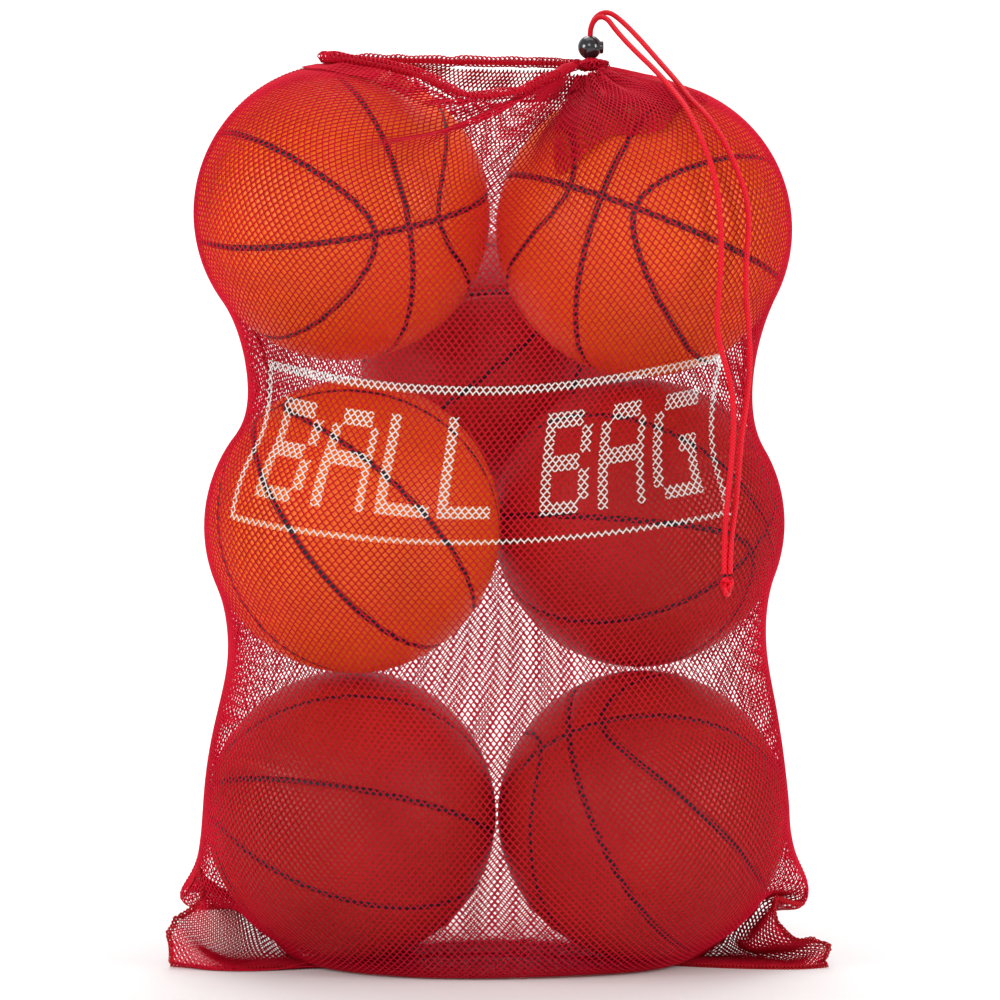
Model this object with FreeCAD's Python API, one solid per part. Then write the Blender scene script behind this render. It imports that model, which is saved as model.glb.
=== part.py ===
"""Drawstring mesh ball bag, standing full, with seven basketballs inside.

Millimetres. +Z is up, +X to the right of someone facing the printed front, -Y is the front.
The origin is on the ground, in the middle of the flat base that the bag stands on.
"""
import FreeCAD
import Part
import math
import os

from FreeCAD import Vector

# ---- driving dimensions -------------------------------------------------------------
BALL_DIAMETER = 243.0     # size 7 basketball
BALL_GAP = 1.5            # least room between two balls
COVER_WALL = 1.5          # moulded cover panels
RIB_RECESS = 0.5          # the black ribs lie this far below the cover
RIB_WIDTH = 5.0
CARCASS_WALL = 0.7
BLADDER_WALL = 0.5
GLUE_LINE = 0.1           # room between two layers of a ball
VALVE_DIAMETER = 7.0
VALVE_LENGTH = 9.0
VALVE_CLEAR = 0.1

NET_WALL = 0.8            # thickness of the knitted net
NET_CLEAR = 3.0           # room between a ball and the net
SEAM_WIDTH = 6.0          # overlocked side and bottom seams, across the seam
SEAM_PROUD = 2.0          # how far a seam stands out from the net
SEAM_PLACE = 8.0          # Y of the middle of the side seams
CORNER_REACH = 26.0       # how far a loose bottom corner sticks out past the bag
CORNER_HEIGHT = 56.0

CORD_DIAMETER = 4.4
CORD_CLEAR = 0.4          # room round the cord in the hem and in the lock
HEM_DIAMETER = 9.0        # folded hem that the cord runs in

LOCK_DIAMETER = 20.0
PLUNGER_DIAMETER = 10.8
PLUNGER_CLEAR = 0.12
PLUNGER_TRAVEL = 2.3
PLUNGER_PROUD = 1.2       # how far the button shows when nothing presses it
LOCK_WALL = 2.8           # behind the spring
SPRING_WIRE = 0.5
SPRING_TURNS = 2.0
SPRING_STEPS = 10         # corners that round each turn of the spring's wire
SPRING_CLEAR = 0.2        # room at each end of the spring
STOP_WIDTH = 0.6          # step between the spring's seat and the cord's slot
LOCK_LIFT = 1.5           # room between the hem and the lock

KNOT_DIAMETER = 11.0      # moulded end piece that holds both cord ends
KNOT_LENGTH = 19.0

BALL_RADIUS = BALL_DIAMETER / 2
SIZE = BALL_DIAMETER / 243.0       # what is laid by hand grows with the balls
FLOOR_CLEAR = NET_WALL + NET_CLEAR
GIRTH_RADIUS = BALL_RADIUS + NET_CLEAR + NET_WALL
ROW_PITCH = BALL_DIAMETER + 2.0
ROW_1 = FLOOR_CLEAR + BALL_RADIUS
ROW_2 = ROW_1 + ROW_PITCH
ROW_3 = ROW_2 + ROW_PITCH

# ---- where the balls lie ------------------------------------------------------------
# name: (X, Y, Z of the centre), (yaw, pitch, roll of its seams)
BALLS = {
    "ball_low_left": ((-BALL_RADIUS + 1.5 * SIZE, 28.0 * SIZE, ROW_1), (62, -70, 43)),
    "ball_low_right": ((BALL_RADIUS + 3.0 * SIZE, 28.0 * SIZE, ROW_1), (-20, -25, 136)),
    "ball_mid_left": ((-BALL_RADIUS + 5.5 * SIZE, -14.0 * SIZE, ROW_2), (158, 36, -116)),
    "ball_mid_right": ((BALL_RADIUS - 0.5 * SIZE, 46.0 * SIZE, ROW_2), (60, -40, 181)),
    "ball_top_left": ((-BALL_RADIUS - 3.5 * SIZE, 0.0, ROW_3 + 13.5 * SIZE), (27, -13, -173)),
    "ball_top_right": ((BALL_RADIUS + 1.5 * SIZE, 0.0, ROW_3), (-22, 18, -12)),
}


def place_back_ball():
    """The seventh ball lies behind the upper four and is stopped by the middle right one."""
    stop = BALLS["ball_mid_right"][0]
    x = 3.0 * SIZE
    z = (ROW_2 + ROW_3) / 2 + 3.0 * SIZE
    reach = BALL_DIAMETER + BALL_GAP
    y = stop[1] + math.sqrt(reach ** 2 - (stop[0] - x) ** 2 - (stop[2] - z) ** 2)
    return (x, y, z)


BALLS["ball_back"] = (place_back_ball(), (35, 20, -30))


# ---- helpers ------------------------------------------------------------------------
def save(shape, node):
    shape.exportStep(os.path.join("parts", node + ".step"))
    print(node, "volume", round(shape.Volume), "solids", len(shape.Solids))


def block(x, y, z):
    """A box from its limits along each axis."""
    corner = Vector(x[0], y[0], z[0])
    return Part.makeBox(x[1] - x[0], y[1] - y[0], z[1] - z[0], corner)


def sphere_shell(outer, wall):
    return Part.makeSphere(outer).cut(Part.makeSphere(outer - wall))


def route_wire(points):
    """Straight runs joined by tangent arcs, each as large as its two runs allow."""
    points = [Vector(*p) for p in points]
    edges = []
    last = points[0]
    radii = []
    for before, corner, after in zip(points, points[1:], points[2:]):
        back = before - corner
        ahead = after - corner
        half_turn = (math.pi - back.getAngle(ahead)) / 2
        trim = 0.45 * min(back.Length, ahead.Length)
        radii.append(trim / math.tan(half_turn))
        back.normalize()
        ahead.normalize()
        start = corner + back * trim
        end = corner + ahead * trim
        inward = back + ahead
        inward.normalize()
        middle = corner + inward * (radii[-1] / math.cos(half_turn) - radii[-1])
        edges.append(Part.LineSegment(last, start).toShape())
        edges.append(Part.Arc(start, middle, end).toShape())
        last = end
    edges.append(Part.LineSegment(last, points[-1]).toShape())
    return Part.Wire(edges), radii


def tube(points, diameter, name=None, short=0):
    """A round bar of one diameter along a route, less that many runs and corners at each end."""
    path, radii = route_wire(points)
    if short:
        path = Part.Wire(path.OrderedEdges[2 * short:-2 * short])
    start, along = path.OrderedVertexes[0].Point, path.OrderedEdges[0].tangentAt(0)
    ring = Part.Wire(Part.makeCircle(diameter / 2, start, along))
    bar = path.makePipeShell([ring], True, False)
    if name:
        section = math.pi * diameter ** 2 / 4
        print(name, "length", round(path.Length, 1), "least radius", round(min(radii), 1),
              "volume over section times length", round(bar.Volume / section / path.Length, 4))
    return bar


# ---- balls --------------------------------------------------------------------------
def seam_web():
    """Solid webs that cross a ball where its black ribs run: two planes and one oval tube."""
    far = BALL_RADIUS + 5.0
    half = RIB_WIDTH / 2
    web = block((-half, half), (-far, far), (-far, far))
    web = web.fuse(block((-far, far), (-far, far), (-half, half)))
    long_side = 0.97 * BALL_RADIUS
    short_side = 0.707 * BALL_RADIUS
    walls = []
    for grow in (half, -half):
        oval = Part.Ellipse(Vector(0, 0, 0), long_side + grow, short_side + grow).toShape()
        face = Part.Face(Part.Wire(oval))
        bar = face.extrude(Vector(0, 0, 2 * far))
        bar.translate(Vector(0, 0, -far))
        # the bar is laid along X, with the oval's long side along Y
        bar.rotate(Vector(0, 0, 0), Vector(0, 0, 1), 90)
        bar.rotate(Vector(0, 0, 0), Vector(0, 1, 0), 90)
        walls.append(bar)
    return web.fuse(walls[0].cut(walls[1]))


def make_ball():
    """The layers of one ball about the origin, as {layer: shape}."""
    web = seam_web()
    bore = Part.makeCylinder(VALVE_DIAMETER / 2 + VALVE_CLEAR, BALL_RADIUS, Vector(0, 0, 0), Vector(0, 1, 0))
    inside_cover = BALL_RADIUS - COVER_WALL
    carcass = inside_cover - GLUE_LINE
    bladder = carcass - CARCASS_WALL - GLUE_LINE
    valve_top = BALL_RADIUS - RIB_RECESS - GLUE_LINE
    ribs = sphere_shell(BALL_RADIUS - RIB_RECESS, COVER_WALL - RIB_RECESS).common(web).cut(bore)
    far = 2 * BALL_RADIUS
    sides = ((-far, 0), (0, far))
    eighths = [ribs.common(block(x, y, z)) for x in sides for y in sides for z in sides]
    layers = {
        "cover": sphere_shell(BALL_RADIUS, COVER_WALL).cut(web),
        "ribs": Part.makeCompound(eighths),
        "carcass": sphere_shell(carcass, CARCASS_WALL).cut(bore),
        "bladder": sphere_shell(bladder, BLADDER_WALL).cut(bore),
        "valve": Part.makeCylinder(VALVE_DIAMETER / 2, VALVE_LENGTH,
                                   Vector(0, valve_top - VALVE_LENGTH, 0), Vector(0, 1, 0)),
    }
    return layers


def save_balls():
    layers = make_ball()
    for name, (centre, turn) in BALLS.items():
        place = FreeCAD.Placement(Vector(*centre), FreeCAD.Rotation(*turn))
        for layer, shape in layers.items():
            placed = shape.copy()
            placed.Placement = place
            save(placed, name + "_" + layer)


# ---- net bag ------------------------------------------------------------------------
def girths():
    """The bag's girth at each height, as (Z, left, right, back), each a circle (X, Y, radius).

    A girth is the taut loop round three upright circles: the left and the right column of balls,
    and what bulges out behind them.
    """
    r = GIRTH_RADIUS
    near = 0.33 * BALL_RADIUS
    shoulder = 0.69 * BALL_RADIUS
    low_l, low_r = BALLS["ball_low_left"][0], BALLS["ball_low_right"][0]
    mid_l, mid_r = BALLS["ball_mid_left"][0], BALLS["ball_mid_right"][0]
    top_l, top_r = BALLS["ball_top_left"][0], BALLS["ball_top_right"][0]
    back = BALLS["ball_back"][0]
    waist_1 = (ROW_1 + ROW_2) / 2
    waist_2 = back[2] - 3.0 * SIZE
    base_r = 0.33 * BALL_RADIUS
    top_z = top_l[2] + GIRTH_RADIUS

    def beside(centre, x, y, radius):
        """A circle that lies off a ball's centre by a distance that grows with the balls."""
        return (centre[0] + x * SIZE, centre[1] + y * SIZE, radius)

    middle = (0.0, 0.0)
    return [
        (0.0, beside(low_l, -52, 0, base_r), beside(low_r, 52, 0, base_r), beside(middle, 0, 60, base_r)),
        (ROW_1 - shoulder, beside(low_l, -24, 0, 0.84 * r), beside(low_r, 24, 0, 0.84 * r),
         beside(middle, 0, 36, 0.84 * r)),
        (ROW_1 - near, beside(low_l, 0, 0, r), beside(low_r, 0, 0, r), beside(middle, 0, 36, r)),
        (ROW_1 + near, beside(low_l, 0, 0, r), beside(low_r, 0, 0, r), beside(middle, 0, 40, r)),
        (waist_1, beside(low_l, 18, -21, r), beside(low_r, -26, 9, r), beside(middle, 0, 62, r)),
        (ROW_2 - near, beside(mid_l, 0, 0, r), beside(mid_r, 0, 0, r), beside(middle, 2, 112, r)),
        (ROW_2, beside(mid_l, 0, 0, r), beside(mid_r, 0, 0, r), beside(middle, 2, 162, r)),
        (ROW_2 + near, beside(mid_l, 0, 0, r), beside(mid_r, 0, 0, r), beside(back, 0, -8, r)),
        (waist_2, beside(mid_l, 49, 7, r), beside(mid_r, -20, -23, r), beside(back, 0, 1, r)),
        (ROW_3 - near, beside(top_l, 0, 0, r), beside(top_r, 0, 0, r), beside(back, 0, -8, r)),
        (ROW_3, beside(top_l, 0, 0, r), beside(top_r, 0, 0, r), beside(middle, 3, 166, r)),
        (ROW_3 + near, beside(top_l, 0, 0, r), beside(top_r, 0, 0, 0.96 * r), beside(middle, 0, 110, r)),
        (ROW_3 + shoulder, beside(top_l, 0, 0, 0.87 * r), beside(top_r, 0, 0, 0.8 * r),
         beside(middle, 0, 60, 0.74 * r)),
        (top_z - 0.15 * r, beside(top_l, 0, 0, 0.58 * r), beside(top_r, -16, 0, 0.46 * r),
         beside(middle, 0, 32, 0.48 * r)),
        (top_z, beside(top_l, 12, 0, 0.26 * r), beside(top_r, -78, 0, 0.22 * r),
         beside(middle, -20, 12, 0.22 * r)),
    ]


def tangent_points(a, b):
    """Where the outer tangent on the right-hand side, going from circle a to circle b, touches them."""
    dx = b[0] - a[0]
    dy = b[1] - a[1]
    heading = math.atan2(dy, dx)
    side = heading - math.acos((a[2] - b[2]) / math.hypot(dx, dy))
    normal = (math.cos(side), math.sin(side))
    return [(c[0] + c[2] * normal[0], c[1] + c[2] * normal[1]) for c in (a, b)], side


def girth_wire(z, circles, grow):
    """Closed loop of three arcs and three straight runs round the circles, grown by a margin."""
    circles = [(x, y, r + grow) for x, y, r in circles]
    spans = []
    for a, b in zip(circles, circles[1:] + circles[:1]):
        spans.append(tangent_points(a, b))
    edges = []
    for i, ((start, end), side) in enumerate(spans):
        edges.append(Part.LineSegment(Vector(*start, z), Vector(*end, z)).toShape())
        (after, _), next_side = spans[(i + 1) % 3]
        x, y, r = circles[(i + 1) % 3]
        turn = (next_side - side) % (2 * math.pi)
        middle = Vector(x + r * math.cos(side + turn / 2), y + r * math.sin(side + turn / 2), z)
        edges.append(Part.Arc(Vector(*end, z), middle, Vector(*after, z)).toShape())
    return Part.Wire(edges)


def bag_body(grow, base=0.0, top=0.0):
    """Solid body of the bag, grown sideways by a margin, its ends moved up by base and top."""
    stations = girths()
    wires = []
    for i, (z, left, right, back) in enumerate(stations):
        if i == 0:
            z += base
        if i == len(stations) - 1:
            z += top
        wires.append(girth_wire(z, [left, right, back], grow))
    return Part.makeLoft(wires, True, True)


def corner_outline(side, inset):
    """Flat loose corner at the foot of the bag, as a face in the XZ plane at Y = 0."""
    foot = BALLS["ball_low_left"][0] if side < 0 else BALLS["ball_low_right"][0]
    edge = abs(foot[0]) + GIRTH_RADIUS
    tip = edge + CORNER_REACH - inset
    high = CORNER_HEIGHT - inset
    inner = 0.6 * edge
    outline = [
        (inner, inset),
        (tip - 2, inset),
        (tip, 0.2 * high),
        (tip - 2, 0.62 * high),
        (edge + 0.3 * CORNER_REACH - inset, high),
        (edge - 12, high + 34),
        (inner, high + 34),
    ]
    points = [Vector(side * x, 0, z) for x, z in outline]
    return Part.Face(Part.makePolygon(points + points[:1]))


def corner_plate(side, inset, low, high):
    plate = corner_outline(side, inset)
    plate.translate(Vector(0, low, 0))
    return plate.extrude(Vector(0, high - low, 0))


def neck():
    """The gathered point that both cord ends leave."""
    return (79.0 * SIZE, -9.0 * SIZE, BALLS["ball_top_left"][0][2] + GIRTH_RADIUS - 4.5 * SIZE)


def hem_route():
    """Route of the cord round the mouth: up out of the neck at one end, down into it at the other."""
    neck_x, neck_y, neck_z = neck()
    strand = CORD_DIAMETER / 2 + 0.05
    top = BALLS["ball_top_left"][0][2] + GIRTH_RADIUS
    loop = [
        (38, 12, 0),
        (-22, 17, 1),
        (-80, 10, 2),
        (-124, 4, 2.5),
        (-141, -12, 2),
        (-128, -33, 0),
        (-96, -45, -5.5),
        (-58, -62, -15.5),
        (-24, -84, -35),
        (20, -78, -31),
        (50, -56, -14.5),
    ]
    return [
        (neck_x, neck_y + strand, neck_z + 6.5),
        (neck_x, neck_y + strand, neck_z),
        (neck_x - 14 * SIZE, neck_y + 8 * SIZE, neck_z + 3 * SIZE),
        *[(x * SIZE, y * SIZE, top + z * SIZE) for x, y, z in loop],
        (neck_x - 14 * SIZE, neck_y - 8 * SIZE, neck_z + 1.5 * SIZE),
        (neck_x, neck_y - strand, neck_z),
        (neck_x, neck_y - strand, neck_z + 6.5),
    ]


def mouth_cutter():
    """Everything above the mouth: what the hem runs round, and a slot to the neck for the cord."""
    plan, _ = route_wire([(x, y, 0) for x, y, _ in hem_route()[2:-2]])
    ends = [vertex.Point for vertex in plan.OrderedVertexes]
    loop = Part.Wire(plan.Edges + [Part.LineSegment(ends[-1], ends[0]).toShape()])
    opening = Part.Face(loop.makeOffset2D(HEM_DIAMETER / 2 + 0.25))
    opening.translate(Vector(0, 0, ROW_3))
    opening = opening.extrude(Vector(0, 0, 2 * BALL_DIAMETER))
    neck_x, neck_y, neck_z = neck()
    half = CORD_DIAMETER + CORD_CLEAR
    slot = block((neck_x - 14 * SIZE, neck_x + half), (neck_y - 1.6 * half, neck_y + 1.6 * half),
                 (neck_z - 9 * SIZE, neck_z + 20 * SIZE))
    return opening.fuse(slot)


def save_bag():
    seam = (SEAM_PLACE - SEAM_WIDTH / 2, SEAM_PLACE + SEAM_WIDTH / 2)
    far = 900.0
    seam_top = ROW_3 + 0.69 * BALL_RADIUS
    room = bag_body(-NET_WALL, base=NET_WALL, top=-NET_WALL)
    body = bag_body(0.0)
    ridge = bag_body(SEAM_PROUD)
    hem_bar = tube(hem_route(), HEM_DIAMETER, short=2)
    hem_bore = tube(hem_route(), CORD_DIAMETER + CORD_CLEAR, short=2)

    net = body.cut(room).cut(mouth_cutter())
    front_half = block((-far, far), (-far, seam[0]), (-1, far))
    seam_slab = block((-far, far), seam, (-1, seam_top))

    front_corners = [corner_plate(side, 0.0, seam[0] - NET_WALL, seam[0]) for side in (-1, 1)]
    back_corners = [corner_plate(side, 0.0, seam[1], seam[1] + NET_WALL) for side in (-1, 1)]
    front = net.common(front_half)
    back = net.cut(front_half).cut(seam_slab)
    for plate in front_corners:
        front = front.fuse(plate.cut(body))
    for plate in back_corners:
        back = back.fuse(plate.cut(body))
    save(front, "front_net")
    save(back, "back_net")

    strip = 8.0
    band = ridge.common(seam_slab).cut(room).cut(block((-far, far), seam, (-1, strip)))
    corners = {}
    for side in (-1, 1):
        whole = corner_plate(side, 0.0, *seam)
        middle = corner_plate(side, strip, *seam)
        corners[side] = whole.cut(middle).cut(body)
    for side, name in ((-1, "left_side_seam"), (1, "right_side_seam")):
        half = block((0, far) if side > 0 else (-far, 0), seam, (strip, far))
        rim = corners[side].common(half)
        beside = band.common(half).cut(corner_plate(side, 0.0, *seam))
        save(largest(beside.fuse(rim)), name)
    foot = body.common(block((-far, far), seam, (-1, strip))).cut(room)
    for side in (-1, 1):
        foot = foot.fuse(corners[side].common(block((-far, far), seam, (-1, strip))))
    save(largest(foot), "bottom_seam")

    save(hem_bar.cut(hem_bore), "hem")
    save(tube(hem_route(), CORD_DIAMETER, "hem_cord"), "hem_cord")


def largest(shape):
    """The biggest solid of a shape, which leaves out slivers of a cut."""
    return max(shape.Solids, key=lambda solid: solid.Volume)


# ---- cord, cord lock and end piece --------------------------------------------------
# Points of each strand, as steps from where it leaves the gathered neck.
CORD_LEFT = [
    (0, 0, 14.9),
    (0.15, -0.15, 23.9),
    (0.6, -0.25, 32.4),
    (5.5, -1.75, 40.4),
    (13.5, -4.75, 39.9),
    (20.5, -9.25, 29.4),
    (34, -19.75, 13.4),
    (52.5, -38.75, -6.1),
    (67, -62.75, -25.1),
    (78.5, -84.25, -43.6),
    (89, -100.25, -69.6),
    (98.5, -107.25, -99.6),
    (101.5, -106.75, -128.6),
    (102.5, -107.75, -153.6),
    (101, -107.75, -182.6),
    (98.5, -107.25, -210.6),
    (102, -106.75, -233.6),
    (109.5, -105.75, -255.6),
    (113, -105.25, -281.6),
    (112, -104.75, -311.6),
    (109, -104.25, -341.6),
    (106.5, -103.75, -369.6),
]
CORD_RIGHT = [
    (0, 0, 14.9),
    (0.15, 0.15, 23.9),
    (0.6, 0.25, 32.9),
    (5.5, -0.25, 42.4),
    (15, -2.25, 45.4),
    (25, -5.75, 38.4),
    (40.5, -17.25, 21.4),
    (55, -32.25, 2.9),
    (70, -51.25, -16.1),
    (79, -66.25, -30.1),
    (90, -81.75, -42.1),
    (102.5, -91.75, -60.1),
    (114, -98.25, -84.6),
    (123, -100.75, -109.6),
    (125.5, -98.25, -132.6),
    (123, -99.25, -159.6),
    (122.5, -100.25, -186.6),
    (125, -100.75, -212.6),
    (126.5, -101.25, -241.6),
    (124, -101.75, -270.6),
    (119.5, -102.25, -299.6),
    (117, -102.25, -329.6),
    (115, -102.75, -358.6),
]
KNOT = (108.0, -103.0, -431.6)     # foot of the end piece, as a step from the neck


def strand_points(start, steps, side):
    """One strand's route: up through the lock, over, down the bag and into the end piece."""
    knot = [a + b * SIZE for a, b in zip(neck(), KNOT)]
    shift = side * (CORD_DIAMETER / 2 + 0.15)
    top = knot[2] + KNOT_LENGTH
    straight = 23 + 2 * side
    route = [start] + [(start[0] + x * SIZE, start[1] + y * SIZE, neck()[2] + z * SIZE)
                       for x, y, z in steps]
    for z in (top + straight, top):
        route.append((knot[0] + shift, knot[1] + side * 0.4, z))
    return route, knot


def save_cord():
    ends = hem_route()
    left, knot = strand_points(ends[-1], CORD_LEFT, -1)
    right, _ = strand_points(ends[0], CORD_RIGHT, 1)
    save(tube(left, CORD_DIAMETER, "cord_left"), "cord_left")
    save(tube(right, CORD_DIAMETER, "cord_right"), "cord_right")
    end = Part.makeCylinder(KNOT_DIAMETER / 2, KNOT_LENGTH, Vector(*knot))
    end = end.makeFillet(0.2 * KNOT_DIAMETER, [edge for edge in end.Edges if edge.Closed])
    save(end, "cord_end")


def save_lock():
    """Round cord lock: a sprung plunger across the ball grips both strands until it is pressed."""
    neck_x, neck_y, neck_z = neck()
    radius = LOCK_DIAMETER / 2
    centre = Vector(neck_x, neck_y, neck_z + CORD_DIAMETER + LOCK_LIFT + radius)
    half_x = CORD_DIAMETER / 2 + CORD_CLEAR
    half_y = CORD_DIAMETER + CORD_CLEAR
    seat = -(radius - LOCK_WALL)
    bore_radius = PLUNGER_DIAMETER / 2 + PLUNGER_CLEAR
    along = Vector(1, 0, 0)

    body = Part.makeSphere(radius)
    body = body.cut(Part.makeCylinder(bore_radius, 2 * radius, Vector(seat, 0, 0), along))
    body = body.cut(block((-half_x, half_x), (-half_y, half_y), (-radius, radius)))

    inner_end = -half_x - STOP_WIDTH
    outer_end = radius + PLUNGER_PROUD
    plunger = Part.makeCylinder(PLUNGER_DIAMETER / 2, outer_end - inner_end, Vector(inner_end, 0, 0), along)
    rim = [edge for edge in plunger.Edges if edge.Closed and edge.CenterOfMass.x > radius]
    plunger = plunger.makeFillet(1.2, rim)
    slot_end = half_x + PLUNGER_TRAVEL + PLUNGER_CLEAR
    plunger = plunger.cut(block((-half_x, slot_end), (-half_y, half_y), (-radius, radius)))

    first = seat + SPRING_CLEAR + SPRING_WIRE / 2
    coil_length = inner_end - SPRING_CLEAR - SPRING_WIRE / 2 - first
    coil_radius = PLUNGER_DIAMETER / 2 - 2 * SPRING_WIRE
    steps = round(SPRING_TURNS * SPRING_STEPS)
    coil = []
    for i in range(steps + 1):
        angle = 2 * math.pi * i / SPRING_STEPS
        along_x = first + coil_length * i / steps
        coil.append((along_x, coil_radius * math.cos(angle), coil_radius * math.sin(angle)))
    spring = tube(coil, SPRING_WIRE)

    for shape, name in ((body, "lock_body"), (plunger, "lock_plunger"), (spring, "lock_spring")):
        shape.translate(centre)
        save(shape, name)


def main():
    os.makedirs("parts", exist_ok=True)
    save_balls()
    save_bag()
    save_cord()
    save_lock()


main()
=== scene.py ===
import math

import bpy
import numpy as np
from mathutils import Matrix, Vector


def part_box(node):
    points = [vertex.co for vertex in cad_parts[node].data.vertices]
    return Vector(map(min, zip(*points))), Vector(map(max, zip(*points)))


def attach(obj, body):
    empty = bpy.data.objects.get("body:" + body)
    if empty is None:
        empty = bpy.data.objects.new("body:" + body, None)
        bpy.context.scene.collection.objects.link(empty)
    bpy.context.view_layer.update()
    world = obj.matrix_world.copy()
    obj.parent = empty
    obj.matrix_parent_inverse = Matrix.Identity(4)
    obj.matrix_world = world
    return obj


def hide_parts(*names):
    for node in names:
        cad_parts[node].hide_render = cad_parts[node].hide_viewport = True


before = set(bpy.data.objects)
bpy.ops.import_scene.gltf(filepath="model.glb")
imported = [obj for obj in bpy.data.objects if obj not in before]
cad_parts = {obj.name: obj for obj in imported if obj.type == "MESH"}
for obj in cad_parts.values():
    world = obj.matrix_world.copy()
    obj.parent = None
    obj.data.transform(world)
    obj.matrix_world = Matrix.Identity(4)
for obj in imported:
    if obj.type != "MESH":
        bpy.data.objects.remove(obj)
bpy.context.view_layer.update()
MM = 0.001                # the camera and the stage are in m, everything between them in mm

# ---- camera -------------------------------------------------------------------------------
LENS = 135.0              # focal length, which like the sensor is in mm
SENSOR = 36.0             # width of the sensor
SPAN = 0.8310             # width of the view at the object, m
AIM = Vector((0.0049, 0.0, 0.3915))
LOOK_DOWN = 2.4           # degrees
camera_data = bpy.data.cameras.new("camera")
camera_data.lens = LENS
camera_data.sensor_width = SENSOR
camera = bpy.data.objects.new("camera", camera_data)
bpy.context.scene.collection.objects.link(camera)
distance = SPAN * LENS / SENSOR
pitch = math.radians(LOOK_DOWN)
back = Vector((0.0, -math.cos(pitch), math.sin(pitch)))
camera.location = AIM + back * distance
camera.rotation_mode = "QUATERNION"
camera.rotation_quaternion = (-back).to_track_quat("-Z", "Y")
camera_data.clip_start, camera_data.clip_end = 0.05, 60.0
bpy.context.scene.camera = camera
bpy.context.scene.view_settings.view_transform = "Standard"


# ---- node helpers -------------------------------------------------------------------------
def material(name):
    """A new material, its node tree and its shader."""
    made = bpy.data.materials.new(name)
    made.use_nodes = True
    tree = made.node_tree
    shader = tree.nodes["Principled BSDF"]
    return made, tree, shader


def node(tree, kind, **values):
    made = tree.nodes.new(kind)
    for key, value in values.items():
        setattr(made, key, value)
    return made


def coords(tree, scale=(1, 1, 1), kind="Object"):
    place = node(tree, "ShaderNodeTexCoord")
    mapping = node(tree, "ShaderNodeMapping")
    mapping.inputs["Scale"].default_value = scale
    tree.links.new(place.outputs[kind], mapping.inputs["Vector"])
    return mapping.outputs["Vector"]


def ramp(tree, source, stops):
    made = node(tree, "ShaderNodeValToRGB")
    while len(made.color_ramp.elements) < len(stops):
        made.color_ramp.elements.new(0.5)
    for element, (at, colour) in zip(made.color_ramp.elements, stops):
        element.position = at
        element.color = (*colour, 1.0)
    tree.links.new(source, made.inputs["Fac"])
    return made.outputs["Color"]


def noise(tree, vector, scale, detail=4.0, rough=0.55):
    made = node(tree, "ShaderNodeTexNoise")
    made.inputs["Scale"].default_value = scale
    made.inputs["Detail"].default_value = detail
    made.inputs["Roughness"].default_value = rough
    tree.links.new(vector, made.inputs["Vector"])
    return made.outputs["Fac"]


def bump(tree, shader, height, strength, depth):
    made = node(tree, "ShaderNodeBump")
    made.inputs["Strength"].default_value = strength
    made.inputs["Distance"].default_value = depth
    tree.links.new(height, made.inputs["Height"])
    tree.links.new(made.outputs["Normal"], shader.inputs["Normal"])


def math_node(tree, operation, a, b=None):
    made = node(tree, "ShaderNodeMath", operation=operation)
    for i, value in enumerate((a, b)):
        if value is None:
            continue
        if isinstance(value, (int, float)):
            made.inputs[i].default_value = value
        else:
            tree.links.new(value, made.inputs[i])
    return made.outputs[0]


# ---- cords --------------------------------------------------------------------------------
CORD_DIAMETER = 4.4 * MM  # m
CORD_LEFT = [
    (79, -11.25, 756.1), (79.0, -11.25, 764.5), (79.15, -11.4, 773.5), (79.6, -11.5, 782),
    (84.5, -13, 790), (92.5, -16, 789.5), (99.5, -20.5, 779), (113, -31, 763),
    (131.5, -50, 743.5), (146, -74, 724.5), (157.5, -95.5, 706), (168, -111.5, 680),
    (177.5, -118.5, 650), (180.5, -118, 621), (181.5, -119, 596), (180, -119, 567),
    (177.5, -118.5, 539), (181, -118, 516), (188.5, -117, 494), (192, -116.5, 468),
    (191, -116, 438), (188, -115.5, 408), (185.5, -115, 380), (184.65, -112.4, 358),
    (184.65, -112.4, 337),
]
CORD_RIGHT = [
    (79, -6.75, 756.1), (79.0, -6.75, 764.5), (79.15, -6.6, 773.5), (79.6, -6.5, 782.5),
    (84.5, -7, 792), (94, -9, 795), (104, -12.5, 788), (119.5, -24, 771),
    (134, -39, 752.5), (149, -58, 733.5), (158, -73, 719.5), (169, -88.5, 707.5),
    (181.5, -98.5, 689.5), (193, -105, 665), (202, -107.5, 640), (204.5, -105, 617),
    (202, -106, 590), (201.5, -107, 563), (204, -107.5, 537), (205.5, -108, 508),
    (203, -108.5, 479), (198.5, -109, 450), (196, -109, 420), (194, -109.5, 391),
    (189.35, -111.6, 362), (189.35, -111.6, 337),
]


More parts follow.
